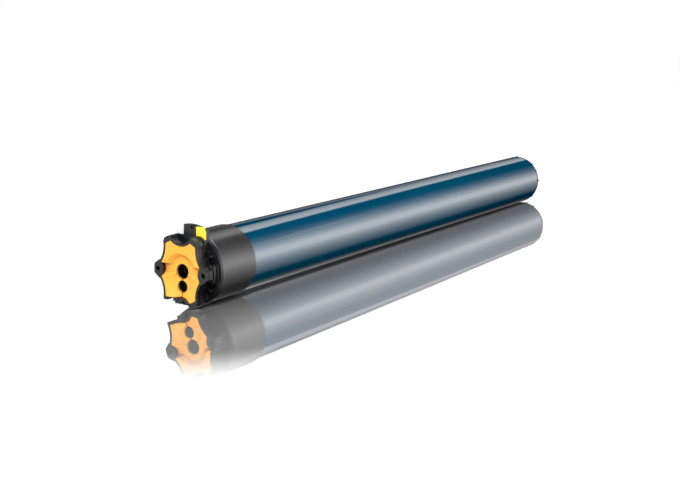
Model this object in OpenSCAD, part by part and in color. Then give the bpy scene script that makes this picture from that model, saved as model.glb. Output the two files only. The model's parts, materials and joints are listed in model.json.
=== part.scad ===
// Tubular roller blind motor with a star head and two limit push buttons.
// The motor's axis is X. The head's front face is at x = 0 and the output shaft points to +X.
// Z is up, through the buttons, and +Y is on the left when the head is seen from the front.

/* [Tube] */
// Outside diameter of the steel tube
tube_d = 59; // [58.4:0.1:59.6]
// Thickness of the tube's wall
tube_wall = 1.3; // [1:0.1:1.6]
// Distance from the head's front face to the far edge of the tube
tube_end = 680; // [640:1:760]

/* [Crown] */
// Outside diameter of the crown that the roller tube turns
crown_d = 62; // [61.4:0.1:62.6]
// Thickness of the crown's wall
crown_wall = 2.4; // [2.2:0.1:2.6]
// Length of the crown
crown_len = 46.4; // [44:0.4:56]
// Width of the keyway along the crown
key_w = 6; // [4:0.5:8]

/* [Head] */
// Diameter of the head's flange
flange_d = 64; // [63.4:0.1:66]
// Distance from the front face to the flange
flange_x = 14.4; // [14.2:0.1:16]
// Thickness of the flange
flange_t = 2.8; // [2.4:0.1:3.2]
// Depth of the star shaped plate
star_t = 8; // [7.4:0.1:8.4]
// Diameter over the star's four lobes
lobe_d = 64; // [63:0.1:64.4]
// Distance between the two bracket screw holes
screw_pitch = 48; // [47:0.1:49]
// Diameter of the bracket screw holes
screw_d = 4.1; // [3:0.1:5]
// Width of the black rim round the face plate
rim_w = 1.9; // [1.5:0.1:2.2]
// Thickness of the neck's wall
neck_wall = 2.6; // [2.2:0.1:3]

/* [Face plate] */
// Thickness of the face plate
plate_t = 4.6; // [4.2:0.1:5.2]
// Depth of the recess in the face plate
recess_depth = 3.1; // [2:0.1:3.4]
// Radius of the recess round the centre bore
recess_r = 14.4; // [13.4:0.1:15]
// Diameter of the bore on the motor's axis
centre_bore_d = 12.4; // [11.4:0.1:12.8]
// Diameter of the bore below it
lower_bore_d = 9.8; // [9:0.1:10.4]
// Distance of the lower bore's centre below the axis
lower_bore_drop = 12.8; // [12.2:0.1:13.2]

/* [Buttons] */
// Width of each push button
button_w = 10.4; // [9.6:0.1:10.8]
// Thickness of each push button along the motor's axis
button_t = 3.2; // [2.8:0.1:3.4]
// Height of the buttons' tops above the axis
button_top = 37; // [36:0.1:37.6]
// Distance that a button is pressed
button_travel = 3; // [2:0.1:3.2]
// Width of the pillar between the buttons
pillar_w = 12; // [11.6:0.1:12.4]
// Radius of the pillar's curved top, from the axis
pillar_top_r = 38.4; // [38:0.1:39.2]

/* [Limit switches] */
// Thickness of a counter wheel's toothed rim
wheel_t = 2.6; // [2.2:0.1:2.8]
// Diameter of the axle that the counter wheels turn on
counter_axle_d = 6; // [5:0.1:7]

/* [Motor] */
// Length of the stator
stator_len = 100; // [80:1:102]
// Bore of the stator
stator_bore_d = 32.4; // [31:0.1:34]
// Diameter of the rotor shaft
shaft_d = 8; // [7.6:0.1:9]
// Diameter of the run capacitor
capacitor_d = 40; // [34:0.5:44]
// Length of the run capacitor
capacitor_len = 70; // [60:1:74]

/* [Gearbox] */
// Thickness of the ring gear's wall behind the teeth
ring_wall = 2.8; // [2.6:0.1:3.4]
// Width of the planet gears in the first two stages
planet_w = 11; // [9:0.5:11.5]
// Diameter of the planets' pins
pin_d = 4; // [3.4:0.1:4.6]
// Diameter of the output shaft
output_d = 20; // [19:0.1:21]
// Length of the output shaft beyond the end cap
output_reach = 22; // [20:1:26]

/* [Hidden] */
$fn = 96;
// Clearances: a running fit, a seat between fixed pieces, and a gap between pieces that turn past each other
run_gap = 0.06;
seat_gap = 0.1;
air_gap = 0.4;
eps = 1;

tube_r = tube_d / 2;
tube_ri = tube_r - tube_wall;
inner_r = tube_ri - seat_gap;
crown_r = crown_d / 2;
crown_ri = crown_r - crown_wall;
flange_r = flange_d / 2;
flange_back = flange_x + flange_t;
crown_x = flange_back + air_gap;
crown_end = crown_x + crown_len;
tube_x = crown_end + air_gap;
key_depth = crown_wall / 2;
neck_r = crown_ri - run_gap;
neck_ri = neck_r - neck_wall;
spigot_len = 12;

// The star: where its scallops are centred and how deep they cut
lobe_r = lobe_d / 2;
side_scallop_y = 40.6;
side_scallop_z = 20.3;
side_scallop_r = 24.6;
top_scallop_z = 37.5;
top_scallop_r = 15.6;
rim_scallop_z = 35.6;
rim_scallop_r = 11.6;
boss_scallop_y = 28.55;
boss_scallop_r = 10.2;
face_half_w = 20.45;
face_lobe_r = 27.6;
boss_edge = screw_pitch / 2 + 4;
boss_half_h = 8;
star_half_w = 22.5;
lobe_corners = [[10.3, 30.3, 110, 0.5], [18.6, 26, 20, 1.1]];
rim_layer = 2.4;
groove_len = 0.8;
groove_depth = 0.8;
foot_cut_z = -25.5;
face_foot_z = -23;
foot_y = 6.5;
outlet_y = 7.6;
outlet_w = 6;
heel = [1.5, -28.5];
heel_w = 7.5;
recess_foot = -1.4;
dish_r = 16;

// The open space between the star plate and the flange
slot_len = 1.4;
slot_depth = 3;
boss_slot = 1.4;
core_x = star_t + slot_len;
core_r = 20.5;
rib_t = 1.6;
rib_r = flange_r - 3;
post_w = 6.5;
post_angle = 58;
rib_angle = 31;
boss_h = 15;
block_r = boss_edge + 0.6;

// Push buttons and their housing
slide_gap = 0.1;
housing_x = core_x;
housing_half_w = pillar_w / 2 + button_w + air_gap + 1.3;
housing_floor = 18;
housing_top = 29.6;
floor_t = 1.6;
button_x = housing_x + 2.6;
button_y = pillar_w / 2 + air_gap + button_w / 2;
button_bevel = 0.7;
button_corner = [2.4, 2.8];
button_face_t = 1.2;
stem_inset = 2.2;
stem_w = button_w - stem_inset;
guide_x = button_x + button_face_t + slide_gap;
guide_y = pillar_w / 2 + air_gap + stem_w + slide_gap;
guide_top = 35.6;
pocket_w = button_w + air_gap + slide_gap;
fin_x = button_x + button_t + slide_gap;
fin_w = 23;
latch_size = [3, 2.2];
spring_len = button_travel + 3;
spring_z = housing_floor + floor_t;
button_foot = spring_z + spring_len;
spring_r = 1.2;
spring_wire = 0.25;
spring_turns = 4;

// The inlet's socket fills the lower scallop behind the star
socket_y = -2;
socket_w = 14;
socket_top = 20;
socket_foot = 30.4;
socket_len = flange_x - core_x + 1.2;
slot_w = 9;
slot_h = 3.6;

// Limit switch unit: the crown's inner teeth turn a pinion, which turns two pairs of counter wheels.
// The wheels of a pair differ by one tooth, so their cams drift past each other as the blind moves.
crown_teeth = 72;
pinion_teeth = 18;
drive_teeth = 36;
cam_teeth = 35;
limit_m = 2 * (crown_ri + 0.7) / crown_teeth;
limit_centre = limit_m * (crown_teeth - pinion_teeth) / 2;
limit_back = 0.16;
limit_add = 0.6;
limit_root = 0.85;
plate_wall = 2;
limit_x = flange_back + neck_wall + air_gap;
train_x = limit_x + plate_wall + air_gap;
unit_gap = 1.6;
cam_t = 1.6;
unit_len = 2 * wheel_t + 2 * cam_t + air_gap;
train_len = 2 * unit_len + unit_gap;
rear_plate_x = train_x + train_len + air_gap;
limit_r = neck_ri - seat_gap;
window_half_w = limit_m * pinion_teeth / 2 + 1.4;
cam_r = 12.4;
cam_notch = 30;
counter_axle_r = counter_axle_d / 2;
pinion_axle_r = 2;
switch_y = 17.6;
switch_w = 5.6;
switch_h = 12;
lever_w = 2 * cam_t - 0.6;
lever_hub_r = 1;
lever_hub_z = 4.6;
lever_pin_r = 0.5;

// Motor, brake and gearbox, from the head's end to the output's
// They are stacked back from the end cap, so the drive stays at the output's end in a longer tube.
cap_t = 8;
cap_x = tube_end - cap_t;
nose_len = 58;
nose_x = tube_end - nose_len;
gear_plate_t = 4;
stage_gap = 0.6;
carrier_t = 5;
last_planet_w = 1.5 * planet_w;
stage_len = planet_w + carrier_t + 3 * stage_gap;
gear_hollow = 47.1;
gear_len = gear_plate_t + 3 * stage_gap + 2 * stage_len + last_planet_w + carrier_t + gear_hollow;
gear_x = nose_x - gear_len;
brake_len = 38;
brake_x = gear_x - brake_len;
shield_len = 22;
shield_hub = 9;
rear_shield_x = brake_x - shield_len;
stator_x = rear_shield_x - stator_len;
shaft_r = shaft_d / 2;
stator_bore_r = stator_bore_d / 2;
rotor_r = stator_bore_r - 0.3;
// The capacitor and the board follow the head
capacitor_gap = 39.6;
capacitor_x = tube_x + capacitor_gap;
cradle_len = 8;
board_gap = 18;
board_x = capacitor_x + capacitor_len + board_gap;
board_len = 62;
board_t = 1.6;
board_z = -inner_r * 0.5;
board_half_w = inner_r * 0.86;
cutout_size = [18, 12, 5];
brake_travel = 0.25;
brake_disc_t = 4;
lining_t = 2.5;
armature_t = 5;
brake_gap = 0.05;
lining_x = brake_x + 5 + brake_disc_t;
armature_x = lining_x + lining_t + brake_gap;

// Three planet stages with the same tooth numbers: each turns five times slower than the one before
sun_teeth = 12;
planet_teeth = 18;
ring_teeth = sun_teeth + 2 * planet_teeth;
gear_add = 0.9;
gear_root = 1.2;
gear_back = 0.18;
ring_add = 0.75;
gear_m = (inner_r - ring_wall) / (ring_teeth / 2 + 1.25);
planet_centre = gear_m * (sun_teeth + planet_teeth) / 2;
stage_x = [for (k = [0:2]) gear_x + gear_plate_t + stage_gap + k * stage_len];
ring_gear_end = stage_x[2] + last_planet_w + carrier_t + 2 * stage_gap;
output_r = output_d / 2;
// the shaft is thicker inside, and its shoulder stops the drive wheel
shoulder = 0.8;
journal_r = output_r + shoulder;
shoulder_x = tube_end + 3;
bearing_x = nose_x + 4;
bearing_t = 12;
bearing_r = output_r + 7;
cap_wall = 2.6;
rim_t = 1.6;
lug_r = 1.6;
lug_reach = 0.45;
lug_count = 8;
lug_turn = -3;
flat_depth = 0.7;
clip_groove = 1.3;
output_end = tube_end + output_reach;
planet_angles = [90, 210, 330];

// Placing: what is drawn in the XY plane is turned to face along the motor's axis, at distance x
module at(x) { translate([x, 0, 0]) rotate([90, 0, 90]) children(); }
module disc(x, len, r) { at(x) cylinder(h = len, r = r); }
module ring(x, len, ro, ri) {
    difference() {
        disc(x, len, ro);
        disc(x - eps, len + 2 * eps, ri);
    }
}
module plate(x, len) { at(x) linear_extrude(len) children(); }
module both_ways() { for (s = [0, 1]) mirror([s, 0]) children(); }
module four_ways() { for (s = [0, 1], t = [0, 1]) mirror([s, 0]) mirror([0, t]) children(); }
// A bar from the middle outwards, r0 to r1, at an angle
module spoke(angle, r0, r1, w) { rotate(angle) translate([r0, -w / 2]) square([r1 - r0, w]); }

// Involute teeth: half the angle of a tooth at radius r, then the whole outline
function inv(a) = tan(a) * 180 / PI - a;
function base_r(z, m) = m * z / 2 * cos(20);
function tooth_half(z, m, r, back) =
    90 / z - back / (m * z) * 180 / PI + inv(20) - inv(acos(min(1, base_r(z, m) / r)));
function gear_outline(z, m, tip, root, back, turn) =
    [for (k = [0:z - 1], s = [-1, 1], r = s < 0 ? [root, m * z / 2, tip] : [tip, m * z / 2, root])
        let (a = turn + k * 360 / z + s * tooth_half(z, m, r, back)) [r * cos(a), r * sin(a)]];
module gear(z, m, add, ded, back, turn) {
    polygon(gear_outline(z, m, m * z / 2 + add * m, m * z / 2 - ded * m, back, turn));
}

// A coil spring along +Z from the origin, as one swept tube with flat ground ends
module coil(r, len, wire, turns) {
    sides = 6;
    steps = 10 * turns;
    rise = len - 2 * wire;
    rings = [for (i = [0:steps]) let (a = 360 * turns * i / steps, z = wire + rise * i / steps)
        [for (j = [0:sides - 1]) let (b = 360 * j / sides + 30)
            [(r + wire * cos(b)) * cos(a), (r + wire * cos(b)) * sin(a), z + wire * sin(b)]]];
    quads = [for (i = [0:steps - 1], j = [0:sides - 1]) let (k = (j + 1) % sides)
        each [[i * sides + j, (i + 1) * sides + j, (i + 1) * sides + k],
              [i * sides + j, (i + 1) * sides + k, i * sides + k]]];
    first = [for (j = [0:sides - 1]) j];
    last = [for (j = [sides - 1:-1:0]) steps * sides + j];
    polyhedron(points = [for (q = rings) each q], faces = concat([first], quads, [last]), convexity = 10);
}

// Outline of the amber face plate, grown all round by g
module face_outline(g) {
    difference() {
        intersection() {
            circle(r = face_lobe_r + g);
            square([2 * (face_half_w + g), 4 * face_lobe_r], center = true);
        }
        both_ways() translate([boss_scallop_y, 0]) circle(r = boss_scallop_r - g);
        four_ways() translate([side_scallop_y, side_scallop_z]) circle(r = side_scallop_r - g);
        for (t = [0, 1]) mirror([0, t]) translate([0, top_scallop_z]) circle(r = top_scallop_r - g);
        translate([foot_y, face_foot_z - g - 10]) square([20, 10]);
    }
}

// Outline of the black star round it, drawn in by g
module star_outline(g) {
    difference() {
        intersection() {
            circle(r = lobe_r - g);
            square([2 * star_half_w, 4 * lobe_r], center = true);
        }
        four_ways() translate([side_scallop_y, side_scallop_z]) circle(r = side_scallop_r - rim_w + g);
        for (t = [0, 1]) mirror([0, t]) translate([0, rim_scallop_z]) circle(r = rim_scallop_r + g);
        // the lobes' corners are blunt
        for (c = lobe_corners) four_ways()
            translate([c[0], c[1]]) rotate(c[2]) translate([-c[3] - g, -5]) square([9, 10]);
        // the cable outlet beside the lower left lobe
        translate([outlet_y, foot_cut_z - 10]) square([outlet_w, 10 + face_foot_z - foot_cut_z]);
        translate([foot_y - 3, foot_cut_z - 10]) square([20, 10]);
    }
    // the screw bosses
    both_ways() polygon([
        [17, boss_half_h + 0.8 - g], [boss_edge - 5.5, boss_half_h - g], [boss_edge - 0.8 - g, 4.4],
        [boss_edge - g, 3.2], [boss_edge - g, -3.2], [boss_edge - 0.8 - g, -4.4],
        [boss_edge - 5.5, g - boss_half_h], [17, g - boss_half_h - 0.8]]);
}

// Core, posts and ribs between the star plate and the flange
module core_outline() {
    circle(r = core_r);
    for (a = [rib_angle, 180 - rib_angle, -rib_angle, rib_angle - 180]) spoke(a, 0, rib_r, rib_t);
    for (a = [-post_angle, post_angle - 180]) spoke(a, 0, rib_r - 0.6, post_w);
    translate([-housing_half_w, 0]) square([2 * housing_half_w, housing_floor]);
}
module boss_blocks() {
    intersection() {
        circle(r = block_r);
        square([3 * lobe_r, boss_h], center = true);
    }
}

module head_body() {
    color("#2c2d2f") difference() {
        union() {
            plate(0, rim_layer) star_outline(0);
            plate(rim_layer, groove_len) star_outline(groove_depth);
            plate(rim_layer + groove_len, star_t - rim_layer - groove_len) star_outline(0);
            // heel at the foot, behind the rim
            plate(star_t / 2, star_t / 2) translate(heel) square([heel_w, 5.5]);
            plate(star_t, slot_len) intersection() {
                star_outline(0);
                circle(r = lobe_r - slot_depth);
                square([2 * (boss_edge - boss_slot), 4 * lobe_r], center = true);
            }
            plate(core_x, flange_x - core_x) core_outline();
            plate(core_x, flange_x - core_x) boss_blocks();
            // flange with a bevelled edge
            at(flange_x) rotate_extrude() polygon([[0, 0], [flange_r - 0.4, 0], [flange_r, 0.4],
                [flange_r, flange_t - 0.3], [flange_r - 0.3, flange_t], [0, flange_t]]);
            disc(flange_back, tube_x - flange_back, neck_r);
            disc(tube_x, spigot_len, inner_r);
        }
        // pocket for the face plate
        plate(-eps, eps + plate_t) face_outline(seat_gap);
        // seat for the button housing, behind the star and through the flange
        plate(core_x, flange_back - core_x) translate([-housing_half_w - seat_gap, housing_floor])
            square([2 * (housing_half_w + seat_gap), 40]);
        // bores
        disc(-eps, eps + flange_x - 1.4, centre_bore_d / 2);
        at(-eps) translate([0, -lower_bore_drop]) cylinder(h = eps + flange_x - 3.4, r = lower_bore_d / 2);
        at(-eps) both_ways() translate([screw_pitch / 2, 0])
            cylinder(h = eps + flange_x + 0.6, r = screw_d / 2);
        // pilot holes in the two lower posts
        for (a = [-post_angle, post_angle - 180]) radial_hole(core_x + 1.8, a, rib_r - 4, 1.1);
        // seat for the cable socket
        plate(core_x - 0.01, socket_len + 0.01 + seat_gap)
            translate([socket_y - socket_w / 2 - seat_gap, -socket_top - 20])
                square([socket_w + 2 * seat_gap, 20]);
        // room inside the neck, and the window for the pinion
        disc(limit_x - air_gap, tube_x + spigot_len, neck_ri);
        plate(limit_x, rear_plate_x + plate_wall - limit_x)
            translate([-window_half_w, -neck_r - 4]) square([2 * window_half_w, neck_r - 15]);
    }
}
// A hole that runs outwards from radius r0, at an angle round the motor's axis
module radial_hole(x, angle, r0, r) {
    translate([x, 0, 0]) rotate([angle, 0, 0]) rotate([-90, 0, 0]) translate([0, 0, r0])
        cylinder(h = 8, r = r, $fn = 32);
}

module face_plate() {
    color("#f9b53c") difference() {
        plate(0, plate_t) face_outline(0);
        // round recess with a leaning wall, kept to the upper half
        intersection() {
            at(-0.01) cylinder(h = recess_depth + 0.01, r1 = recess_r + 1, r2 = recess_r - 1.8);
            translate([-eps, -lobe_r, recess_foot]) cube([2 * recess_depth + eps, 2 * lobe_r, lobe_r]);
        }
        // channel between the two screw bosses, steep above and ramped below
        rotate([90, 0, 0]) translate([0, 0, -30]) linear_extrude(60)
            polygon([[-0.01, 5.6], [recess_depth, 4.6], [recess_depth, -1.4], [-0.01, -6.2]]);
        // dish round the lower bore
        intersection() {
            at(-0.01) translate([0, -lower_bore_drop + 2])
                cylinder(h = recess_depth + 0.01, r1 = dish_r, r2 = lower_bore_d / 2 + 3.7);
            translate([-eps, -lobe_r, recess_foot - lobe_r]) cube([2 * recess_depth + eps, 2 * lobe_r, lobe_r]);
        }
        disc(-eps, plate_t + 2 * eps, centre_bore_d / 2);
        at(-eps) translate([0, -lower_bore_drop]) cylinder(h = plate_t + 2 * eps, r = lower_bore_d / 2);
        // the slits that join the bores to each other and to the lower edge
        plate(-eps, plate_t + 2 * eps) translate([-0.25, -lower_bore_drop]) square([0.5, 12]);
        plate(-eps, plate_t + 2 * eps) translate([-0.25, -30]) square([0.5, 30 - lower_bore_drop]);
    }
}

// The part of a block between the housing's floor and height z1, within radius r
module housing_slab(half_w, z1, r) {
    intersection() {
        circle(r = r);
        translate([-half_w, housing_floor]) square([2 * half_w, z1 - housing_floor]);
    }
}

module button_housing() {
    color("#262729") difference() {
        union() {
            // front wall, side walls and the piece of flange behind the buttons
            plate(housing_x, flange_x - housing_x + 0.4) housing_slab(housing_half_w, housing_top, lobe_r);
            plate(flange_x, flange_t) housing_slab(housing_half_w, lobe_r, flange_r);
            // pillar between the buttons and the fin that backs them
            plate(button_x, flange_back - button_x) housing_slab(pillar_w / 2, 40, pillar_top_r);
            plate(fin_x, flange_back - fin_x) housing_slab(fin_w / 2, 40, pillar_top_r);
            // guides beside the buttons' stems
            for (s = [0, 1]) mirror([0, s, 0]) translate([guide_x, guide_y, housing_floor])
                cube([flange_back - guide_x, stem_inset - slide_gap, guide_top - housing_floor]);
        }
        // pockets for the two buttons, open at the top: wide for the face, narrow for the stem
        for (s = [0, 1]) mirror([0, s, 0]) {
            translate([button_x - slide_gap, pillar_w / 2, spring_z])
                cube([guide_x - button_x + slide_gap, pocket_w, 30]);
            translate([button_x, pillar_w / 2, spring_z])
                cube([button_t + slide_gap, guide_y - pillar_w / 2, 30]);
        }
        // small latch hole in the pillar's face
        translate([button_x - eps, -pillar_w / 2 + 1.8, pillar_top_r - 1 - latch_size[1]])
            cube([eps + 1.8, latch_size[0], latch_size[1]]);
    }
}

// A push button on the +Y side: a face with bevelled edges, and a narrower stem behind it
module button_shape() {
    intersection() {
        union() {
            linear_extrude(button_top) polygon([
                [button_x + button_face_t, -button_w / 2], [button_x + button_face_t, button_w / 2],
                [button_x + button_bevel, button_w / 2], [button_x, button_w / 2 - button_bevel],
                [button_x, button_bevel - button_w / 2], [button_x + button_bevel, -button_w / 2]]);
            translate([button_x + button_bevel, -button_w / 2, 0])
                cube([button_t - button_bevel, stem_w, button_top]);
        }
        // bevelled top edge at the front
        rotate([90, 0, 0]) translate([0, 0, -button_w]) linear_extrude(2 * button_w) polygon([
            [button_x - eps, button_foot], [button_x + button_t + eps, button_foot],
            [button_x + button_t + eps, button_top], [button_x + 0.7, button_top],
            [button_x, button_top - 0.7], [button_x - eps, button_top - 0.7]]);
        // the outer top corner is cut off
        plate(0, button_x + button_t + eps) polygon([
            [-button_w, 0], [(button_w + button_corner[0]) / 2, 0],
            [(button_w + button_corner[0]) / 2, button_top - 1.5 * button_corner[1]],
            [button_w / 2 - button_corner[0], button_top], [-button_w, button_top]]);
    }
}
module yellow_button() { color("#f4e445") mirror([0, 1, 0]) translate([0, button_y, 0]) button_shape(); }
module white_button() { color("#f2f2ef") translate([0, button_y, 0]) button_shape(); }
module button_coil(side) {
    color("#b9bcc0") translate([button_x + button_t / 2, side * button_y, spring_z])
        coil(spring_r, spring_len, spring_wire, spring_turns);
}
module yellow_button_spring() { button_coil(-1); }
module white_button_spring() { button_coil(1); }

// The mains inlet below the core, with its slot to the front and three contacts inside
contact_z = socket_top + 6.2;
module cable_socket() {
    color("#303134") difference() {
        plate(core_x, socket_len) translate([socket_y - socket_w / 2, -socket_foot])
            square([socket_w, socket_foot - socket_top]);
        plate(core_x - eps, eps + 4.4) translate([socket_y - slot_w / 2, -contact_z - slot_h / 2])
            square([slot_w, slot_h]);
    }
}
module socket_contacts() {
    color("#c9a24a") for (y = [-3, 0, 3]) translate([core_x + 1, socket_y + y, -contact_z])
        rotate([0, 90, 0]) cylinder(h = 3.4, r = 0.6, $fn = 24);
}

module crown() {
    color("#47484b") difference() {
        at(crown_x) rotate_extrude() polygon([
            [crown_ri, 0], [crown_r - 1.6, 0], [crown_r - 1.6, 0.9], [crown_r - 0.2, 2.3], [crown_r, 2.7],
            [crown_r, crown_len - 0.4], [crown_r - 0.4, crown_len], [crown_ri, crown_len]]);
        plate(train_x, train_len)
            gear_space(crown_teeth, limit_m, limit_m * crown_teeth / 2 + limit_root * limit_m,
                limit_m * crown_teeth / 2 - limit_add * limit_m, limit_back, -90);
        // keyway for the roller tube's tongue, behind the teeth
        translate([rear_plate_x + 1, crown_r - key_depth, -key_w / 2]) cube([crown_len, 4, key_w]);
    }
}
// What an internal gear lacks: a gear outline with wider teeth and the bore
module gear_space(z, m, root_r, tip_r, back, turn) {
    polygon(gear_outline(z, m, root_r, tip_r - 0.3, -back, turn));
    circle(r = tip_r);
}

module limit_plate(x) {
    difference() {
        disc(x, plate_wall, limit_r);
        disc(x - eps, plate_wall + 2 * eps, counter_axle_r);
        at(x - eps) translate([0, -limit_centre])
            cylinder(h = plate_wall + 2 * eps, r = pinion_axle_r + run_gap);
    }
}
module limit_front_plate() { color("#8c9094") limit_plate(limit_x); }
module limit_rear_plate() {
    color("#8c9094") {
        limit_plate(rear_plate_x);
        // pillars that hold the plates apart
        for (a = [55, 125]) at(limit_x + plate_wall) rotate(a) translate([limit_r - 3.2, 0])
            cylinder(h = rear_plate_x - limit_x - plate_wall + 0.5, r = 2.4);
    }
}
module counter_axle() {
    color("#b9bcc0") disc(limit_x, rear_plate_x + plate_wall - limit_x, counter_axle_r);
}
module limit_pinion() {
    color("#e8e4da") {
        at(train_x) translate([0, -limit_centre]) linear_extrude(train_len)
            gear(pinion_teeth, limit_m, limit_add, 0.9, limit_back, -90);
        at(limit_x + 0.2) translate([0, -limit_centre])
            cylinder(h = rear_plate_x + plate_wall - limit_x - 0.4, r = pinion_axle_r);
    }
}
// A counter wheel with its cam; the cam's notch lets the switch lever drop. flip puts the cam in front.
module counter_wheel(x, teeth, add, flip) {
    rim_x = flip ? x + cam_t : x;
    difference() {
        union() {
            plate(rim_x, wheel_t) gear(teeth, limit_m, add, 0.9, limit_back, 90 / teeth * 2 - 90);
            plate(flip ? x : x + wheel_t, cam_t) difference() {
                circle(r = cam_r);
                rotate(flip ? 70 : -50) polygon([[8, 0], [20, -tan(cam_notch / 2) * 20],
                    [20, tan(cam_notch / 2) * 20]]);
            }
        }
        disc(x - eps, wheel_t + cam_t + 2 * eps, counter_axle_r + run_gap);
        if (!flip) for (a = [0:60:300]) at(x - eps) rotate(a) translate([8.4, 0])
            cylinder(h = wheel_t + cam_t + 2 * eps, r = 1.6);
    }
}
function unit_x(k) = train_x + k * (unit_len + unit_gap);
module drive_wheel(k) { counter_wheel(unit_x(k), drive_teeth, limit_add, false); }
module cam_wheel(k) {
    counter_wheel(unit_x(k) + wheel_t + cam_t + air_gap, cam_teeth, limit_add, true);
}
module up_drive_wheel() { color("#d9d4c6") drive_wheel(0); }
module up_cam_wheel() { color("#c8c2b2") cam_wheel(0); }
module down_drive_wheel() { color("#d9d4c6") drive_wheel(1); }
module down_cam_wheel() { color("#c8c2b2") cam_wheel(1); }

// Microswitch beside a pair of wheels, seated on a plate, with a lever between the rims
function lever_x(k) = unit_x(k) + wheel_t + 0.5;
module switch_body(k, x0, x1) {
    translate([x0, switch_y, -switch_h / 2]) cube([x1 - x0, switch_w, switch_h]);
    // two ears and the pin that the lever swings on
    for (x = [lever_x(k) - 1, lever_x(k) + lever_w + 0.2])
        translate([x, switch_y - 2.2, lever_hub_z - 1]) cube([0.8, 2.4, 2]);
    at(lever_x(k) - 0.6) translate([switch_y - 1.3, lever_hub_z])
        cylinder(h = lever_w + 1.2, r = lever_pin_r, $fn = 32);
}
module switch_lever(k) {
    difference() {
        union() {
            at(lever_x(k)) translate([switch_y - 1.3, lever_hub_z])
                cylinder(h = lever_w, r = lever_hub_r, $fn = 32);
            plate(lever_x(k), lever_w) polygon([[switch_y - 2, lever_hub_z - 0.4],
                [switch_y - 0.7, lever_hub_z - 0.4], [cam_r + 1.1, -0.4], [cam_r + 0.9, -1.6],
                [cam_r + 0.4, -1.6], [cam_r + 0.4, -0.2]]);
        }
        at(lever_x(k) - eps) translate([switch_y - 1.3, lever_hub_z])
            cylinder(h = lever_w + 2 * eps, r = lever_pin_r + run_gap, $fn = 32);
    }
}
module up_switch() { color("#1f1f22") switch_body(0, limit_x + plate_wall, unit_x(0) + unit_len); }
module down_switch() { color("#1f1f22") mirror([0, 1, 0]) switch_body(1, unit_x(1), rear_plate_x); }
module up_switch_lever() { color("#b9bcc0") switch_lever(0); }
module down_switch_lever() { color("#b9bcc0") mirror([0, 1, 0]) switch_lever(1); }

// Rivets through the tube: distance along it and angle round it. They hold the front shield, the ring gear
// and the end cap.
rivet_r = 1.6;
rivet_depth = 1.8;
rivet_head_t = 0.15;
rivet_clear = 0.04;
shield_rivet_inset = 13;
gear_rivet_inset = 23;
cap_rivet_inset = 8;
shield_rivet_x = stator_x - shield_rivet_inset;
gear_rivet_x = nose_x - gear_rivet_inset;
cap_rivet_x = nose_x + cap_rivet_inset;
rivet_places = [[shield_rivet_x, 46], [shield_rivet_x, -134], [gear_rivet_x, 92], [gear_rivet_x, -88],
    [cap_rivet_x, 85], [cap_rivet_x, -95]];
module rivet_holes() { for (p = rivet_places) radial_hole(p[0], p[1], inner_r - rivet_depth, rivet_r); }
module tube() {
    color("#0b4f70") difference() {
        ring(tube_x, tube_end - tube_x, tube_r, tube_ri);
        rivet_holes();
    }
}
module tube_rivets() {
    color("#9aa0a5") intersection() {
        for (p = rivet_places) radial_hole(p[0], p[1], inner_r - rivet_depth, rivet_r - rivet_clear);
        disc(tube_x, tube_end - tube_x, tube_r + rivet_head_t);
    }
}

// The can's end cap and its two flat terminals: how far they stand out, length, thickness and width
can_top_t = 2;
can_top_step = 3;
terminal_reach = 9;
terminal_size = [7.5, 0.8, 6.2];
terminal_y = 6;
module capacitor() {
    color("#d8dadc") {
        disc(capacitor_x, capacitor_len, capacitor_d / 2);
        disc(capacitor_x - can_top_t, can_top_t, capacitor_d / 2 - can_top_step);
        for (y = [-terminal_y, terminal_y])
            translate([capacitor_x - terminal_reach, y - terminal_size[1] / 2, -terminal_size[2] / 2])
                cube(terminal_size);
    }
}
module capacitor_cradle() {
    color("#3a3c3f") for (x = [capacitor_x + cradle_len, capacitor_x + capacitor_len - 2 * cradle_len])
        ring(x, cradle_len, inner_r - 0.2, capacitor_d / 2 + 0.1);
}
module terminal_board() {
    color("#2f6b45") translate([board_x, -board_half_w, board_z]) cube([board_len, 2 * board_half_w, board_t]);
}
module thermal_cutout() {
    color("#1f1f22") translate([board_x + board_len / 2 + 3, -cutout_size[1] / 2, board_z + board_t])
        cube(cutout_size);
}

// A bearing shield: a cup with a hub for the bearing, open towards the windings
module shield(x, flip) {
    translate([x, 0, 0]) mirror([flip ? 1 : 0, 0, 0]) difference() {
        union() {
            ring(0, shield_len, inner_r, inner_r - 2.6);
            disc(0, 3, inner_r);
            disc(0, shield_hub, shaft_r + 7);
        }
        disc(-eps, shield_hub - 1 + eps, shaft_r + 4.5);
        disc(-eps, shield_len, shaft_r + air_gap);
    }
}
module front_shield() {
    color("#a7abae") difference() {
        shield(stator_x - shield_len, false);
        rivet_holes();
    }
}
module rear_shield() { color("#a7abae") shield(rear_shield_x + shield_len, true); }
module bearing(x) { ring(x, shield_hub - 1.2, shaft_r + 4.45, shaft_r + run_gap); }
module front_bearing() { color("#b48a4e") bearing(stator_x - shield_len); }
module rear_bearing() { color("#b48a4e") bearing(rear_shield_x + shield_len - shield_hub + 1.2); }

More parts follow.
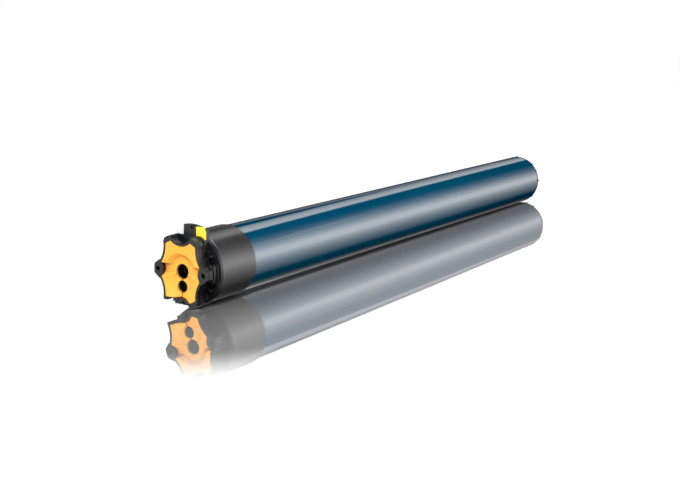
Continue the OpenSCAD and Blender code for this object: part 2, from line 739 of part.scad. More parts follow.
slot_count = 12;
slot_r = 23.5;
module stator_core() {
    color("#7f8488") difference() {
        disc(stator_x, stator_len, inner_r);
        plate(stator_x - eps, stator_len + 2 * eps) {
            circle(r = stator_bore_r);
            for (k = [0:slot_count - 1]) {
                spoke(k * 360 / slot_count, stator_bore_r - 1, stator_bore_r + 1.6, 1.2);
                spoke(k * 360 / slot_count, stator_bore_r + 1.2, slot_r, 4.2);
            }
        }
    }
}
winding_len = 10;
module winding(x) {
    at(x) rotate_extrude() translate([(slot_r + stator_bore_r + 1.2) / 2, winding_len / 2])
        intersection() {
            circle(r = 4.4);
            square([8, winding_len], center = true);
        }
    at(x) rotate_extrude() translate([stator_bore_r + 1.4, 1]) square([5.4, winding_len - 2]);
}
module windings() {
    color("#b8622e") {
        ring(stator_x - winding_len, winding_len, slot_r - 0.4, stator_bore_r + 1.4);
        ring(rear_shield_x, winding_len, slot_r - 0.4, stator_bore_r + 1.4);
        for (k = [0:slot_count - 1])
            plate(stator_x - 1, stator_len + 2)
                spoke(k * 360 / slot_count, stator_bore_r + 1.5, slot_r - 0.3, 3.8);
    }
}

rotor_x = stator_x + 2;
rotor_len = stator_len - 4;
cage_t = 5;
module rotor_core() { color("#6f7478") ring(rotor_x + cage_t, rotor_len - 2 * cage_t, rotor_r, shaft_r); }
module rotor_cage() {
    color("#c3c7ca") for (x = [rotor_x, rotor_x + rotor_len - cage_t]) {
        ring(x, cage_t, rotor_r, rotor_r - 4.5);
        plate(x == rotor_x ? x - 3 : x + cage_t - 0.01, 3.01) for (k = [0:5])
            spoke(k * 60, rotor_r - 4, rotor_r - 0.4, 1.4);
    }
}
sun_end = stage_x[0] + planet_w;
module rotor_shaft() {
    color("#b9bcc0") {
        disc(stator_x - shield_len - 3, stage_x[0] - stator_x + shield_len + 3, shaft_r);
        plate(stage_x[0], sun_end - stage_x[0]) sun_gear();
    }
}
// A tooth space faces each planet, so the sun is turned by half a tooth
module sun_gear() { gear(sun_teeth, gear_m, gear_add, gear_root, gear_back, 90 + 180 / sun_teeth); }

// Brake: a spring presses the armature on the disc's lining while the motor has no power
brake_r = 18;
pin_guide_r = 1.5;
brake_pin_centre = 21.2;
brake_pin_angles = [30, 150, 270];
module brake_housing() {
    color("#6c7073") {
        ring(brake_x, brake_len, inner_r, inner_r - 2);
        ring(brake_x + brake_len - 3, 3, inner_r - 1, shaft_r + 2);
        for (a = brake_pin_angles) at(brake_x + 10) rotate(a) translate([brake_pin_centre, 0])
            cylinder(h = brake_len - 12, r = pin_guide_r);
    }
}
module brake_disc() {
    color("#8e9397") {
        ring(brake_x + 5, brake_disc_t, brake_r, shaft_r);
        ring(brake_x + 2, 4, shaft_r + 3.5, shaft_r);
    }
}
module brake_lining() {
    color("#5b4a3c") ring(lining_x, lining_t, brake_r - 0.4, brake_r - 7);
}
module brake_armature() {
    color("#9a9ea1") difference() {
        ring(armature_x, armature_t, inner_r - 2.5, shaft_r + 1.5);
        for (a = brake_pin_angles) at(armature_x - eps) rotate(a) translate([brake_pin_centre, 0])
            cylinder(h = armature_t + 2 * eps, r = pin_guide_r + 0.09);
    }
}
module brake_spring() {
    x = armature_x + armature_t + brake_travel + brake_gap;
    color("#b9bcc0") translate([x, 0, 0]) rotate([0, 90, 0])
        coil(11, brake_x + brake_len - 3 - brake_gap - x, 1.1, 4);
}

module gearbox_plate() { color("#56595c") ring(gear_x, gear_plate_t, inner_r, shaft_r + 2); }
module ring_gear() {
    color("#d6d1c4") difference() {
        disc(gear_x + gear_plate_t, nose_x - gear_x - gear_plate_t, inner_r);
        plate(gear_x + gear_plate_t - eps, ring_gear_end - gear_x - gear_plate_t + eps)
            gear_space(ring_teeth, gear_m, gear_m * (ring_teeth / 2 + 1.25),
                gear_m * (ring_teeth / 2 - ring_add), gear_back, 90);
        disc(ring_gear_end - eps, nose_x, gear_m * (ring_teeth / 2 - ring_add));
        rivet_holes();
    }
}
// A planet meets the ring gear and the sun on the line through its pin
module planet(stage, width, angle) {
    at(stage_x[stage]) rotate(angle) translate([planet_centre, 0]) linear_extrude(width) difference() {
        gear(planet_teeth, gear_m, gear_add, gear_root, gear_back, 0);
        circle(r = pin_d / 2 + run_gap);
    }
}
module carrier(stage, width) {
    x = stage_x[stage];
    disc(x + width + stage_gap, carrier_t, planet_centre + pin_d / 2 + 2.5);
    for (a = planet_angles) at(x + 0.2) rotate(a) translate([planet_centre, 0])
        cylinder(h = width + stage_gap + 1, r = pin_d / 2);
}
// The sun gear of the next stage, which grows out of a carrier
module sun_boss(stage, width) {
    plate(stage_x[stage] - 2 * stage_gap - 0.5, width + 2 * stage_gap + 0.5) sun_gear();
}
module first_carrier() {
    color("#a9adb0") {
        carrier(0, planet_w);
        sun_boss(1, planet_w);
    }
}
module second_carrier() {
    color("#a9adb0") {
        carrier(1, planet_w);
        sun_boss(2, last_planet_w);
    }
}
module planet_node(stage, width, k) { color("#e4dfd2") planet(stage, width, planet_angles[k]); }
module first_planet_a() { planet_node(0, planet_w, 0); }
module first_planet_b() { planet_node(0, planet_w, 1); }
module first_planet_c() { planet_node(0, planet_w, 2); }
module second_planet_a() { planet_node(1, planet_w, 0); }
module second_planet_b() { planet_node(1, planet_w, 1); }
module second_planet_c() { planet_node(1, planet_w, 2); }
module third_planet_a() { planet_node(2, last_planet_w, 0); }
module third_planet_b() { planet_node(2, last_planet_w, 1); }
module third_planet_c() { planet_node(2, last_planet_w, 2); }

clip_x = output_end - 4;
module output_shaft() {
    color("#aeb3b7") difference() {
        union() {
            carrier(2, last_planet_w);
            disc(ring_gear_end - carrier_t, shoulder_x - ring_gear_end + carrier_t, journal_r);
            disc(shoulder_x - eps, output_end - shoulder_x, output_r);
            at(output_end - 1) cylinder(h = 1, r1 = output_r, r2 = output_r - 1);
        }
        // two flats for the drive wheel, and the groove for its clip
        for (a = [0, 180]) rotate([a, 0, 0])
            translate([shoulder_x, -output_r, output_r - flat_depth]) cube([output_reach, 2 * output_r, 10]);
        difference() {
            disc(clip_x, clip_groove, output_r + 2);
            disc(clip_x - eps, clip_groove + 2 * eps, output_r - flat_depth - 0.8);
        }
    }
}
module output_bearing() {
    color("#9aa0a5") ring(bearing_x, bearing_t, bearing_r, journal_r + run_gap);
}
// The end cap carries the output bearing, closes the tube and bears small lugs round its rim
module end_cap() {
    color("#1c1d1f") difference() {
        union() {
            at(nose_x) rotate(lug_turn + 180 / lug_count) {
                cylinder(h = tube_end - nose_x, r = inner_r);
                translate([0, 0, tube_end - nose_x]) cylinder(h = rim_t, r = tube_r - 0.2);
            }
            for (k = [0:lug_count - 1]) at(tube_end) rotate(k * 360 / lug_count + lug_turn)
                translate([tube_r - lug_r + lug_reach, 0]) cylinder(h = rim_t, r = lug_r);
        }
        disc(nose_x - eps, bearing_x + bearing_t - nose_x + eps, bearing_r);
        disc(nose_x, tube_end, journal_r + air_gap);
        // hollow between the bearing's seat and the cap's end wall
        disc(bearing_x + bearing_t + cap_t / 2, cap_x - bearing_x - bearing_t - cap_t, inner_r - cap_wall);
        rivet_holes();
    }
}
head_body();
face_plate();
button_housing();
yellow_button();
white_button();
yellow_button_spring();
white_button_spring();
cable_socket();
socket_contacts();
crown();
limit_front_plate();
limit_rear_plate();
counter_axle();
limit_pinion();
up_drive_wheel();
up_cam_wheel();
down_drive_wheel();
down_cam_wheel();
up_switch();
down_switch();
up_switch_lever();
down_switch_lever();
tube();
tube_rivets();
capacitor();
capacitor_cradle();
terminal_board();
thermal_cutout();
front_shield();
stator_core();
windings();
rear_shield();
front_bearing();
rear_bearing();
rotor_shaft();
rotor_core();
rotor_cage();
brake_housing();
brake_disc();
brake_lining();
brake_armature();
brake_spring();
gearbox_plate();
ring_gear();
first_carrier();
second_carrier();
output_shaft();
first_planet_a();
first_planet_b();
first_planet_c();
second_planet_a();
second_planet_b();
second_planet_c();
third_planet_a();
third_planet_b();
third_planet_c();
output_bearing();
end_cap();
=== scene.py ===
"""Tubular roller blind motor with a star head, on a pale glossy studio floor."""
import json
import math

import bpy
from mathutils import Matrix, Quaternion, Vector

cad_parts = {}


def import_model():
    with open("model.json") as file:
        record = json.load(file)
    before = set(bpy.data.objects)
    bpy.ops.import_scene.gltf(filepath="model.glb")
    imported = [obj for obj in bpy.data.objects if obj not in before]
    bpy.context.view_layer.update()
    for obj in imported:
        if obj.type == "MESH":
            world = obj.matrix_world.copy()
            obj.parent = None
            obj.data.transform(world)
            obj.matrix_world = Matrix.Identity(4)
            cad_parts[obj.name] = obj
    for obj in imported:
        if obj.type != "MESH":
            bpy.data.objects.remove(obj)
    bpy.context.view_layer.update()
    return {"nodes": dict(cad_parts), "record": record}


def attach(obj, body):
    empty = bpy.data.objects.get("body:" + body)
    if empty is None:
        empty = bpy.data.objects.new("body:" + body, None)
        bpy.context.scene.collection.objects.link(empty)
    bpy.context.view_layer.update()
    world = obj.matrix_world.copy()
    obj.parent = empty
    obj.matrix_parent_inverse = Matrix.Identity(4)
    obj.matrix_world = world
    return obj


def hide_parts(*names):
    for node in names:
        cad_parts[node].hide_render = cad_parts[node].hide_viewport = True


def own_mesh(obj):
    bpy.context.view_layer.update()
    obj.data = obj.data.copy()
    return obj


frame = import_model()
nodes = frame["nodes"]

# Lengths are in metres, in the part's frame: x runs along the motor from the head's face, and z
# towards the buttons.

# The camera, solved from the photograph. Its roll is in degrees.
CAMERA_AT = Vector((-0.7399, -0.6156, 0.2235))
CAMERA_LOOK = Vector((0.8320, 0.5181, -0.1984))
CAMERA_ROLL = 1.425
CAMERA_LENS = 62.68
SENSOR_WIDTH = 36.0
CAMERA_CLIP = (0.01, 60.0)

# The motor lies on the floor with its head rolled round the axis. The flange and the far rim touch
# it, so it drops away from the axis towards the head. Here are its distance from the axis at the
# head's face and its slope.
HEAD_ROLL = math.radians(9.9)
REST_AT_HEAD = 0.03208
REST_SLOPE = 0.00338
FLOOR_SIZE = 14.0

# Light that scatters off the object: an even fill, and a soft key from above and in front.
FILL = 0.3
KEY_FROM = (-0.55, -0.25, 0.8)
KEY = 3.4
KEY_FALLOFF = 3.0

# What glossy surfaces see of the studio. LOW_WALL is white all round and ends between two
# elevations, in degrees.
LOW_WALL = 1.45
LOW_WALL_TOP = (19.0, 23.0)
# Towards the far end the near side's wall gives way to the softboxes: by how far a ray runs along
# the tube, and up to which degrees round it.
WALL_OPENS = (0.83, 0.89)
WALL_OPENS_ROUND = (80.0, 92.0)
# Brightness of the long softboxes beside the tube, by degrees round the tube's axis from the near
# side's horizon.
SOFTBOXES = ((0, 4.1), (10, 3.0), (21, 2.0), (33, 1.0), (45, 0.45), (57, 0.1), (64, 0.0))
# A strip overhead, by the same degrees. It leans over towards the far end: how steeply, and from
# how far a ray runs along the tube.
STRIP = ((88, 0.0), (93, 3.3), (106, 3.1), (114, 2.4), (121, 1.9), (127, 0.0))
STRIP_LEAN = 140.0
STRIP_STRAIGHT = 0.815
# A softbox over the head: where it stands, and its spread by cosine.
HEAD_BOX = 8.0
HEAD_BOX_FROM = (-0.15, 0.0, 0.97)
HEAD_BOX_SPREAD = (0.85, 0.94)
# Painted light for the board: the glow that glossy surfaces see of it, by the same degrees of each
# place on it, bright in the distance with painted shade under the motor.
PAINTED_BOARD_GLOW = ((-180, 1.8), (-81.5, 1.8), (-72.2, 0.7), (-64.7, 0.2), (-60, 0.0), (-49.4, 0.0),
              (-42.4, 0.5), (-34.9, 1.0), (-27.4, 1.7), (-19.7, 2.7), (-11, 4.1), (0, 4.1))

# Share of the floor's mirror layer over its white, by metres across from the motor.
MIRROR_SHARE = ((0.0, 0.92), (0.03, 0.91), (0.07, 0.86), (0.15, 0.8), (0.22, 0.74), (0.3, 0.5),
                (0.4, 0.32), (0.5, 0.32))
MIRROR_ACROSS = 0.5
MIRROR_TINT = 0.74
MIRROR_ROUGHNESS = 0.02
# It mirrors at a low look only: from none to all of that share, by how far the floor turns away,
MIRROR_LOOK = (0.665, 0.69)
# and only round the motor: all of it up to a distance from the motor's middle, then none.
MOTOR_MIDDLE = (0.35, 0.0, 0.0)
MIRROR_END = (0.5, 0.62)
# The white that the floor shows, and what it throws back up.
FLOOR_WHITE = 0.9
FLOOR_BOUNCE = 0.6
# The painted contact shadow in the mirror under the motor: its reach, its strength, and where it
# begins and ends, along the motor and across.
CONTACT_REACH = 0.008
CONTACT_DARK = 2.2
CONTACT_FROM = (0.0, 0.014)
CONTACT_TO = (0.66, 0.676)
CONTACT_ACROSS = (0.0, 0.008)

# How far moulded edges are rounded.
EDGE_R = 0.0007
HEAD_EDGE_R = 0.0011
# A painted shadow line along outer edges, standing in for the shadow in the gap beside them: how
# near an edge it lies, and from which cosine to the flat face it shows.
EDGE_SHADE_R = 0.0017
EDGE_SHADE_LEVEL = (0.8, 0.985)
# Painted shade in inner corners, a darker colour standing in for the shade there: its reach, and
# how open a place may be to have it.
CORNER_SHADE_REACH = 0.006
CORNER_SHADE_OPEN = (0.5, 0.94)
# Where a surface that turns away gets its outline's share of gloss.
GLOSS_EDGE = (0.45, 0.9)
# Share of the light that the tube's coat mirrors, and what gets through it, straight in. Along the
# upper outline it mirrors less: how much, from which turn, and from which upward slope.
COAT_SHARE = 0.104
COAT_DEPTH = 0.8
COAT_EDGE_KEEPS = 0.3
COAT_EDGE = (0.81, 0.87)
COAT_UPWARD = (-0.1, 0.1)
# What a stain leaves of a metal's colour.
STAIN = 0.82
# Where most of a noise's values lie.
NOISE_RANGE = (0.3, 0.7)
# Rays that look round a place for the painted corner shade, the painted edge shadow and the painted
# contact shadow, and rays that round an edge.
LOOK_RAYS = 8
ROUND_RAYS = 4

# The bead round the far rim and its snap lugs. LUG_TURN is in degrees.
BEAD_FROM = 0.6802
BEAD_TO = 0.6832
BEAD_R = 0.02945
BEAD_INNER_R = 0.0285
BEAD_CHAMFER = 0.0005
BEAD_STEPS = 720
LUG_R = 0.0017
LUG_REACH = 0.0303
LUG_COUNT = 8
LUG_TURN = -3


def srgb(r, g, b):
    """A colour given as 0 to 255, in the linear values that shaders take."""
    def linear(v):
        v /= 255
        return v / 12.92 if v <= 0.04045 else ((v + 0.055) / 1.055) ** 2.4
    return (linear(r), linear(g), linear(b), 1.0)


class Nodes:
    """Short calls for building a node tree."""

    def __init__(self, tree):
        self.tree = tree
        self.tree.nodes.clear()

    def add(self, kind, inputs=None, **settings):
        node = self.tree.nodes.new(kind)
        for key, value in settings.items():
            setattr(node, key, value)
        for key, value in (inputs or {}).items():
            if isinstance(value, bpy.types.NodeSocket):
                self.tree.links.new(value, node.inputs[key])
            else:
                node.inputs[key].default_value = value
        return node

    def math(self, operation, a, b=0.0):
        return self.add("ShaderNodeMath", {0: a, 1: b}, operation=operation).outputs[0]

    def mix(self, factor, first, second):
        return self.add("ShaderNodeMixShader", {"Fac": factor, 1: first, 2: second}).outputs[0]

    def gloss(self, colour, roughness, **links):
        return self.add("ShaderNodeBsdfGlossy", {
            "Color": colour, "Roughness": roughness, **links}).outputs[0]

    def facing(self):
        """0 where the surface looks at the viewer and 1 at its outline."""
        return self.add("ShaderNodeLayerWeight", {"Blend": 0.5}).outputs["Facing"]

    def coated(self, base, share, edge_share, roughness, relief):
        """base under a thin gloss, with the gloss's share facing the viewer and at the outline."""
        part = self.span(self.facing(), share, edge_share, *GLOSS_EDGE)
        under = self.principled(Roughness=0.6, Specular_IOR_Level=0.0, Normal=relief, **base)
        self.surface(self.mix(part, under, self.gloss((1, 1, 1, 1), roughness, Normal=relief)))

    def geometry(self, output):
        return self.add("ShaderNodeNewGeometry").outputs[output]

    def rounded(self, radius, rays):
        """The normal, averaged over what lies within radius."""
        return self.add("ShaderNodeBevel", {"Radius": radius}, samples=rays).outputs["Normal"]

    def openness(self, reach):
        """1 in the open, and less the more lies within reach."""
        return self.add("ShaderNodeAmbientOcclusion", {"Distance": reach},
                        samples=LOOK_RAYS).outputs["AO"]

    def parts(self, vector):
        return self.add("ShaderNodeSeparateXYZ", {"Vector": vector}).outputs

    def dot(self, first, second):
        return self.add("ShaderNodeVectorMath", {0: first, 1: second},
                        operation="DOT_PRODUCT").outputs["Value"]

    def angle_round_tube(self, direction):
        """Degrees round the motor's axis from the near side's horizon, and the levelled parts."""
        level = self.add("ShaderNodeMapping", {"Vector": direction, "Rotation": (HEAD_ROLL, 0, 0)})
        way = self.parts(level.outputs["Vector"])
        near = self.math("MULTIPLY", way["Y"], -1.0)
        return self.math("DEGREES", self.math("ARCTAN2", way["Z"], near)), way

    def toward(self, direction, place):
        """Cosine between a direction and that of a place."""
        return self.dot(direction, Vector(place).normalized())

    def coords(self, scale):
        """Object coordinates in metres, stretched along each axis."""
        place = self.add("ShaderNodeTexCoord").outputs["Object"]
        return self.add("ShaderNodeMapping", {"Vector": place, "Scale": scale}).outputs["Vector"]

    def noise(self, scale, detail=4.0, rough=0.55, stretch=(1, 1, 1)):
        return self.add("ShaderNodeTexNoise", {
            "Vector": self.coords(stretch), "Scale": scale, "Detail": detail,
            "Roughness": rough}).outputs["Fac"]

    def span(self, value, low, high, from_low=NOISE_RANGE[0], from_high=NOISE_RANGE[1], **settings):
        """value, spread over low to high."""
        return self.add("ShaderNodeMapRange", {
            "Value": value, "From Min": from_low, "From Max": from_high,
            "To Min": low, "To Max": high}, **settings).outputs["Result"]

    def smooth(self, value, low, high, from_low, from_high):
        """span, eased at both ends."""
        return self.span(value, low, high, from_low, from_high, interpolation_type="SMOOTHSTEP")

    def tint(self, value, dark, light):
        """A noise's value as a colour between dark and light."""
        ramp = self.add("ShaderNodeValToRGB", {"Fac": value})
        for point, place, colour in zip(ramp.color_ramp.elements, NOISE_RANGE, (dark, light)):
            point.color = colour
            point.position = place
        return ramp.outputs["Color"]

    def blend(self, factor, first, second):
        return self.add("ShaderNodeMix", {"Factor": factor, "A": first, "B": second},
                        data_type="RGBA").outputs["Result"]

    def curve(self, value, stops, low, high):
        """A brightness that follows stops: pairs of a value from low to high and what it gives."""
        top = max(gives for _, gives in stops)
        ramp = self.add("ShaderNodeValToRGB", {"Fac": self.span(value, 0.0, 1.0, low, high)})
        points = ramp.color_ramp.elements
        while len(points) > 1:
            points.remove(points[-1])
        for k, (at, gives) in enumerate(stops):
            place = (at - low) / (high - low)
            point = points[0] if k == 0 else points.new(place)
            point.position = place
            point.color = (gives / top,) * 3 + (1.0,)
        return self.math("MULTIPLY", ramp.outputs["Color"], top)

    def bump(self, height, distance, strength=1.0, under=None):
        inputs = {"Height": height, "Distance": distance, "Strength": strength}
        if under is not None:
            inputs["Normal"] = under
        return self.add("ShaderNodeBump", inputs).outputs["Normal"]

    def surface(self, shader):
        self.add("ShaderNodeOutputMaterial", {"Surface": shader})

    def principled(self, **inputs):
        names = {key.replace("_", " "): value for key, value in inputs.items()}
        return self.add("ShaderNodeBsdfPrincipled", names).outputs["BSDF"]

    def finish(self, **inputs):
        self.surface(self.principled(**inputs))


def material(name):
    made = bpy.data.materials.new(name)
    made.use_nodes = True
    return made, Nodes(made.node_tree)


def moulded(name, dark, light, roughness, share=0.035, edge_share=0.06, grain=2600,
            grain_depth=0.00002, corner_shade=None, edge_shade=None, edge_r=EDGE_R, **extra):
    """Moulded plastic: a fine eroded grain, faint flow marks, uneven gloss and softened edges. With
    its two shade colours it has painted shade deep in its inner corners and a painted shadow line
    along its outer edges."""
    made, n = material(name)
    flow = n.noise(scale=26, detail=3, stretch=(1, 0.6, 0.6))
    soft = n.rounded(edge_r, ROUND_RAYS)
    colour = n.tint(flow, dark, light)
    # painted shade: the colour darkens towards the corner colour in inner corners, where little
    # light reaches
    if corner_shade:
        colour = n.blend(n.span(n.openness(CORNER_SHADE_REACH), 1.0, 0.0, *CORNER_SHADE_OPEN), colour, corner_shade)
    # painted shadow: a dark line along the outer edges, where the gap to the rim lies in shade
    if edge_shade:
        level = n.dot(n.rounded(EDGE_SHADE_R, LOOK_RAYS), n.geometry("Normal"))
        colour = n.blend(n.span(level, 1.0, 0.0, *EDGE_SHADE_LEVEL), colour, edge_shade)
    fine = n.noise(scale=grain, detail=2, rough=0.6)
    smudge = n.noise(scale=70, detail=5, rough=0.65)
    relief = n.bump(flow, distance=0.00006, strength=0.25, under=soft)
    n.coated({"Base_Color": colour, **extra}, share, edge_share,
             n.span(smudge, roughness - 0.06, roughness + 0.08),
             n.bump(fine, distance=grain_depth, strength=0.5, under=relief))
    return made


def tube_paint():
    """Deep blue coating on a drawn steel tube: drawing marks along it and a thin gloss on top."""
    made, n = material("tube_paint")
    drawn = n.noise(scale=240, detail=3, stretch=(0.02, 1, 1))
    cloud = n.noise(scale=9, detail=3, stretch=(0.4, 1, 1))
    orange_peel = n.noise(scale=420, detail=2, stretch=(0.5, 1, 1))
    relief = n.bump(orange_peel, distance=0.000008, strength=0.25,
                    under=n.bump(drawn, distance=0.000008, strength=0.3))
    facing = n.facing()
    # the blue deepens as it turns away, seen through more of the coat
    paint = n.principled(
        Base_Color=n.tint(cloud, srgb(2, 78, 110), srgb(4, 88, 121)), Roughness=0.55,
        Specular_IOR_Level=0.0, Coat_Weight=1.0, Coat_IOR=1.0, Coat_Roughness=0.5,
        Coat_Tint=(COAT_DEPTH, COAT_DEPTH, COAT_DEPTH, 1.0), Normal=relief)
    # the coat is thin, so it doesn't whiten along the upper edge
    upward = n.parts(n.geometry("Normal"))["Z"]
    edge = n.math("MULTIPLY", facing, n.span(upward, 0.0, 1.0, *COAT_UPWARD))
    share = n.span(edge, COAT_SHARE, COAT_SHARE * COAT_EDGE_KEEPS, *COAT_EDGE)
    gloss = n.gloss(srgb(255, 251, 248), n.span(drawn, 0.05, 0.08), Normal=relief)
    n.surface(n.mix(share, paint, gloss))
    return made


def crown_plastic():
    """Glass filled plastic, turned: fine rings round the axis."""
    made, n = material("crown_plastic")
    rings = n.noise(scale=900, detail=3, stretch=(1, 0.03, 0.03))
    patch = n.noise(scale=60, detail=4)
    relief = n.bump(n.noise(scale=2200, detail=2), distance=0.00001, strength=0.3)
    n.coated({"Base_Color": n.tint(rings, srgb(44, 44, 45), srgb(52, 52, 53))},
             share=0.048, edge_share=0.06, roughness=n.span(patch, 0.2, 0.28),
             relief=n.bump(rings, distance=0.000012, strength=0.3, under=relief))
    return made


def metal(name, colour, roughness, stretch=(1, 1, 1), metallic=1.0):
    """Plated, cast or drawn metal: marks along the working direction and faint stains."""
    made, n = material(name)
    marks = n.noise(scale=700, detail=3, stretch=stretch)
    stain = n.noise(scale=60, detail=4)
    dull = tuple(STAIN * c for c in colour[:3]) + (1.0,)
    n.finish(
        Base_Color=n.tint(stain, dull, colour),
        Metallic=metallic,
        Roughness=n.span(marks, roughness - 0.08, roughness + 0.1),
        Normal=n.bump(marks, distance=0.00002, strength=0.4))
    return made


def windings():
    """Enamelled copper wire: fine strands across each coil."""
    made, n = material("copper_winding")
    wave = n.add("ShaderNodeTexWave", {
        "Vector": n.coords((1, 1, 1)), "Scale": 260.0, "Distortion": 2.0, "Detail": 2.0},
        bands_direction="DIAGONAL").outputs["Fac"]
    n.finish(
        Base_Color=n.tint(wave, srgb(92, 40, 18), srgb(168, 88, 46)),
        Metallic=0.6, Roughness=0.35, Normal=n.bump(wave, distance=0.0003, strength=0.7))
    return made


def laminated():
    """Stacked electrical steel: thin sheets across the axis."""
    made, n = material("lamination")
    wave = n.add("ShaderNodeTexWave", {
        "Vector": n.coords((1, 0, 0)), "Scale": 300.0}, bands_direction="X").outputs["Fac"]
    n.finish(
        Base_Color=n.tint(wave, srgb(84, 88, 92), srgb(128, 132, 136)),
        Metallic=0.9, Roughness=0.42, Normal=n.bump(wave, distance=0.0001, strength=0.6))
    return made


# Moulded ones: dark and light colour, roughness, and the gloss's share facing and at the outline.
FINISHES = {
    "head_plastic": moulded("head_plastic", srgb(13, 13, 15), srgb(22, 22, 24), 0.24, 0.03, 0.19,
                            edge_r=HEAD_EDGE_R),
    "housing_plastic": moulded("housing_plastic", srgb(15, 15, 17), srgb(24, 24, 26), 0.32, 0.03,
                               0.08),
    "cap_plastic": moulded("cap_plastic", srgb(18, 18, 20), srgb(27, 27, 29), 0.4, 0.02, 0.02),
    "switch_plastic": moulded("switch_plastic", srgb(24, 24, 27), srgb(36, 36, 40), 0.5),
    # amber: painted shade in its inner corners (deep orange) and a painted shadow line along its
    # outer edges (dark brown)
    "amber_plastic": moulded("amber_plastic", srgb(252, 176, 58), srgb(255, 188, 74), 0.36, 0.03,
                             0.1, corner_shade=srgb(206, 92, 2), edge_shade=srgb(60, 22, 2),
                             Subsurface_Weight=0.05, Subsurface_Scale=0.001),
    "yellow_plastic": moulded("yellow_plastic", srgb(244, 224, 60), srgb(250, 234, 84), 0.34, 0.02,
                              0.05, Subsurface_Weight=0.08, Subsurface_Scale=0.002),
    "white_plastic": moulded("white_plastic", srgb(236, 238, 238), srgb(244, 245, 244), 0.34, 0.02,
                             0.05, Subsurface_Weight=0.08, Subsurface_Scale=0.002),
    "gear_nylon": moulded("gear_nylon", srgb(216, 210, 194), srgb(230, 225, 212), 0.5),
    "board": moulded("board", srgb(30, 92, 52), srgb(40, 110, 62), 0.4),
    "friction": moulded("friction", srgb(72, 60, 50), srgb(100, 84, 70), 0.8, 0.01, 0.02,
                        grain=900, grain_depth=0.0002),
    "rivet_steel": metal("rivet_steel", srgb(96, 104, 110), 0.5),
    "crown_plastic": crown_plastic(),
    "tube_paint": tube_paint(),
    "plated_steel": metal("plated_steel", srgb(186, 190, 196), 0.3, (0.05, 1, 1)),
    "spring_steel": metal("spring_steel", srgb(170, 173, 178), 0.28, (1, 1, 0.1)),
    "contact_brass": metal("contact_brass", srgb(206, 168, 92), 0.25),
    "cast_metal": metal("cast_metal", srgb(168, 171, 174), 0.5),
    "can_metal": metal("can_metal", srgb(200, 203, 206), 0.3, (0.05, 1, 1)),
    "sintered_steel": metal("sintered_steel", srgb(140, 130, 118), 0.5, metallic=0.9),
    "copper_winding": windings(),
    "lamination": laminated(),
}
# Nodes whose finish isn't their material slot's own.
NODE_FINISH = {"tube_rivets": "rivet_steel"}


def dress_nodes():
    for part in frame["record"]["subparts"]:
        slots = nodes[part["node"]].data.materials
        slots.clear()
        slots.append(FINISHES[NODE_FINISH.get(part["node"], part["material_slot"])])


def copied(node, name):
    """A copy of a CAD node, in the node's place, with the node hidden."""
    obj = nodes[node].copy()
    obj.data = nodes[node].data.copy()
    obj.name = name
    obj.parent = None
    obj.matrix_world = nodes[node].matrix_world.copy()
    bpy.context.scene.collection.objects.link(obj)
    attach(obj, "motor")
    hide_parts(node)
    return obj


def button_springs():
    """Each button's spring, as a copy with its own mesh in the spring's place."""
    for colour in ("yellow", "white"):
        name = colour + "_button_spring"
        coil = copied(name, colour + "_coil")
        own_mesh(coil)


def far_bead():
    """Rolled bead round the far rim that swells where the snap lugs stand out."""
    centre = LUG_REACH - LUG_R
    pitch = 360 / LUG_COUNT
    verts = []
    faces = []
    for k in range(BEAD_STEPS):
        turn = math.radians(k * 360 / BEAD_STEPS)
        lug = math.radians((k * 360 / BEAD_STEPS - LUG_TURN + pitch / 2) % pitch - pitch / 2)
        inside = LUG_R ** 2 - (centre * math.sin(lug)) ** 2
        reach = BEAD_R if inside < 0 else max(BEAD_R, centre * math.cos(lug) + math.sqrt(inside))
        for x, r in ((BEAD_FROM, BEAD_INNER_R), (BEAD_FROM, reach), (BEAD_TO - BEAD_CHAMFER, reach),
                     (BEAD_TO, reach - BEAD_CHAMFER), (BEAD_TO, BEAD_INNER_R)):
            verts.append((x, r * math.cos(turn), r * math.sin(turn)))
    corners = len(verts) // BEAD_STEPS
    for k in range(BEAD_STEPS):
        here, there = corners * k, corners * ((k + 1) % BEAD_STEPS)
        for j in range(corners):
            following = (j + 1) % corners
            faces.append((here + j, here + following, there + following, there + j))
    mesh = bpy.data.meshes.new("far_bead")
    mesh.from_pydata(verts, [], faces)
    mesh.materials.append(FINISHES["cap_plastic"])
    obj = bpy.data.objects.new("far_bead", mesh)
    bpy.context.scene.collection.objects.link(obj)
    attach(obj, "motor")


def camera():
    data = bpy.data.cameras.new("camera")
    data.lens = CAMERA_LENS
    data.sensor_width = SENSOR_WIDTH
    data.sensor_fit = "HORIZONTAL"
    data.clip_start, data.clip_end = CAMERA_CLIP
    obj = bpy.data.objects.new("camera", data)
    obj.location = CAMERA_AT
    obj.rotation_mode = "QUATERNION"
    roll = Quaternion((0, 0, 1), math.radians(CAMERA_ROLL))
    obj.rotation_quaternion = CAMERA_LOOK.to_track_quat("-Z", "Y") @ roll
    bpy.context.scene.collection.objects.link(obj)
    bpy.context.scene.camera = obj


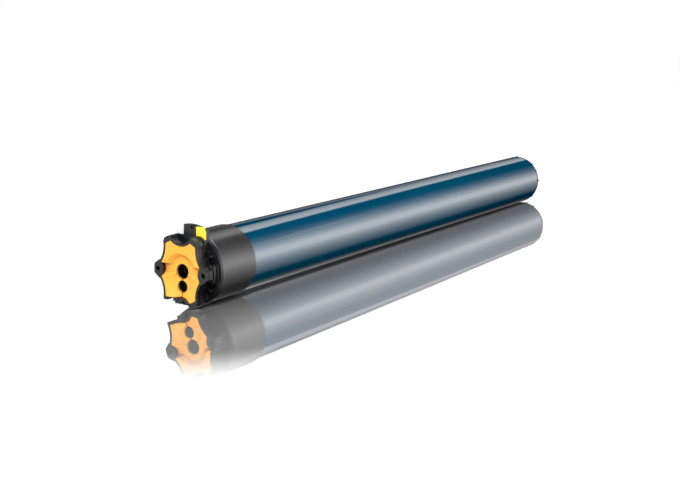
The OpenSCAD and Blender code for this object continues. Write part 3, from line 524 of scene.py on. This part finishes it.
def floor_material():
    """Glossy white board: a mirror layer over a white that keeps the motor's shadow."""
    made, n = material("studio_floor")
    path = n.add("ShaderNodeLightPath").outputs
    place = n.add("ShaderNodeTexCoord").outputs["Object"]
    way = n.parts(place)
    across = n.math("ABSOLUTE", way["Y"])
    share = n.math("MULTIPLY", n.curve(across, MIRROR_SHARE, 0.0, MIRROR_ACROSS),
                   n.smooth(n.facing(), 0.0, 1.0, *MIRROR_LOOK))
    away = n.add("ShaderNodeVectorMath", {0: place, 1: MOTOR_MIDDLE},
                 operation="DISTANCE").outputs["Value"]
    share = n.math("MULTIPLY", share, n.smooth(away, 1.0, 0.0, *MIRROR_END))
    # it throws less light back up than it shows, so undersides stay dark
    level = n.span(path["Is Diffuse Ray"], FLOOR_WHITE, FLOOR_BOUNCE, 0.0, 1.0)
    white = n.add("ShaderNodeBsdfDiffuse", {"Color": level}).outputs[0]
    # painted shadow: right under the motor the mirror's colour darkens by how closed in each place
    # is, as a contact shadow
    painted_contact_shade = n.openness(CONTACT_REACH)
    under = n.math("MULTIPLY", n.span(way["X"], 0.0, CONTACT_DARK, *CONTACT_FROM),
                   n.span(way["X"], 1.0, 0.0, *CONTACT_TO))
    under = n.math("MULTIPLY", under, n.span(way["Y"], 1.0, 0.0, *CONTACT_ACROSS))
    painted_contact_shade = n.math("MULTIPLY", n.math("POWER", painted_contact_shade, under), MIRROR_TINT)
    board = n.mix(share, white, n.gloss(painted_contact_shade, MIRROR_ROUGHNESS))
    # painted light: glossy rays see the board glow, fading from the bright distance to painted
    # shade under the motor
    angle = n.angle_round_tube(n.geometry("Position"))[0]
    painted_board_glow = n.add("ShaderNodeEmission", {
        "Strength": n.curve(angle, PAINTED_BOARD_GLOW, -180.0, 0.0)}).outputs[0]
    plain = n.math("MAXIMUM", path["Is Camera Ray"], path["Is Transmission Ray"])
    seen = n.mix(path["Is Glossy Ray"], n.mix(plain, white, board), painted_board_glow)
    # seen from below the board isn't there, so a low view is open
    clear = n.add("ShaderNodeBsdfTransparent").outputs[0]
    n.surface(n.mix(n.geometry("Backfacing"), seen, clear))
    return made


def floor():
    half = FLOOR_SIZE / 2
    mesh = bpy.data.meshes.new("studio_floor")
    mesh.from_pydata([(-half, -half, 0), (half, -half, 0), (half, half, 0), (-half, half, 0)],
                     [], [(0, 1, 2, 3)])
    mesh.materials.append(floor_material())
    obj = bpy.data.objects.new("studio_floor", mesh)
    obj.matrix_world = (Matrix.Rotation(-HEAD_ROLL, 4, "X") @ Matrix.Rotation(-REST_SLOPE, 4, "Y")
                        @ Matrix.Translation((0, 0, -REST_AT_HEAD)))
    bpy.context.scene.collection.objects.link(obj)


def world():
    """White where the camera sees it, softboxes where a gloss does, and a soft key for what
    scatters."""
    studio = bpy.data.worlds.new("studio")
    bpy.context.scene.world = studio
    studio.use_nodes = True
    n = Nodes(studio.node_tree)
    path = n.add("ShaderNodeLightPath").outputs
    along = n.add("ShaderNodeTexCoord").outputs["Generated"]
    # scattered light
    key = n.math("POWER", n.math("MAXIMUM", n.toward(along, KEY_FROM), 0.0), KEY_FALLOFF)
    soft = n.math("ADD", n.math("MULTIPLY", key, KEY), FILL)
    # reflections
    angle, way = n.angle_round_tube(along)
    wall = n.smooth(way["Z"], LOW_WALL, 0.0, *(math.sin(math.radians(v)) for v in LOW_WALL_TOP))
    opens = n.math("MULTIPLY", n.span(way["X"], 0.0, 1.0, *WALL_OPENS),
                   n.span(angle, 1.0, 0.0, *WALL_OPENS_ROUND))
    wall = n.math("MULTIPLY", wall, n.math("SUBTRACT", 1.0, opens))
    lean = n.math("MULTIPLY", n.math("SUBTRACT", way["X"], STRIP_STRAIGHT), STRIP_LEAN)
    strip = n.curve(n.math("SUBTRACT", angle, lean), STRIP, -180.0, 180.0)
    gloss = n.math("MAXIMUM", wall, n.curve(angle, SOFTBOXES, 0.0, 180.0))
    gloss = n.math("MAXIMUM", gloss, strip)
    over = n.toward(along, HEAD_BOX_FROM)
    gloss = n.math("MAXIMUM", gloss, n.span(over, 0.0, HEAD_BOX, *HEAD_BOX_SPREAD))
    plain = n.math("MAXIMUM", path["Is Camera Ray"], path["Is Transmission Ray"])
    strength = n.add("ShaderNodeMix", {
        "Factor": path["Is Glossy Ray"], "A": soft, "B": gloss}).outputs[0]
    strength = n.add("ShaderNodeMix", {"Factor": plain, "A": strength, "B": 1.0}).outputs[0]
    back = n.add("ShaderNodeBackground", {"Color": (1, 1, 1, 1), "Strength": strength}).outputs[0]
    n.add("ShaderNodeOutputWorld", {"Surface": back})


dress_nodes()
button_springs()
far_bead()
camera()
world()
floor()

bpy.context.scene.view_settings.view_transform = "Standard"
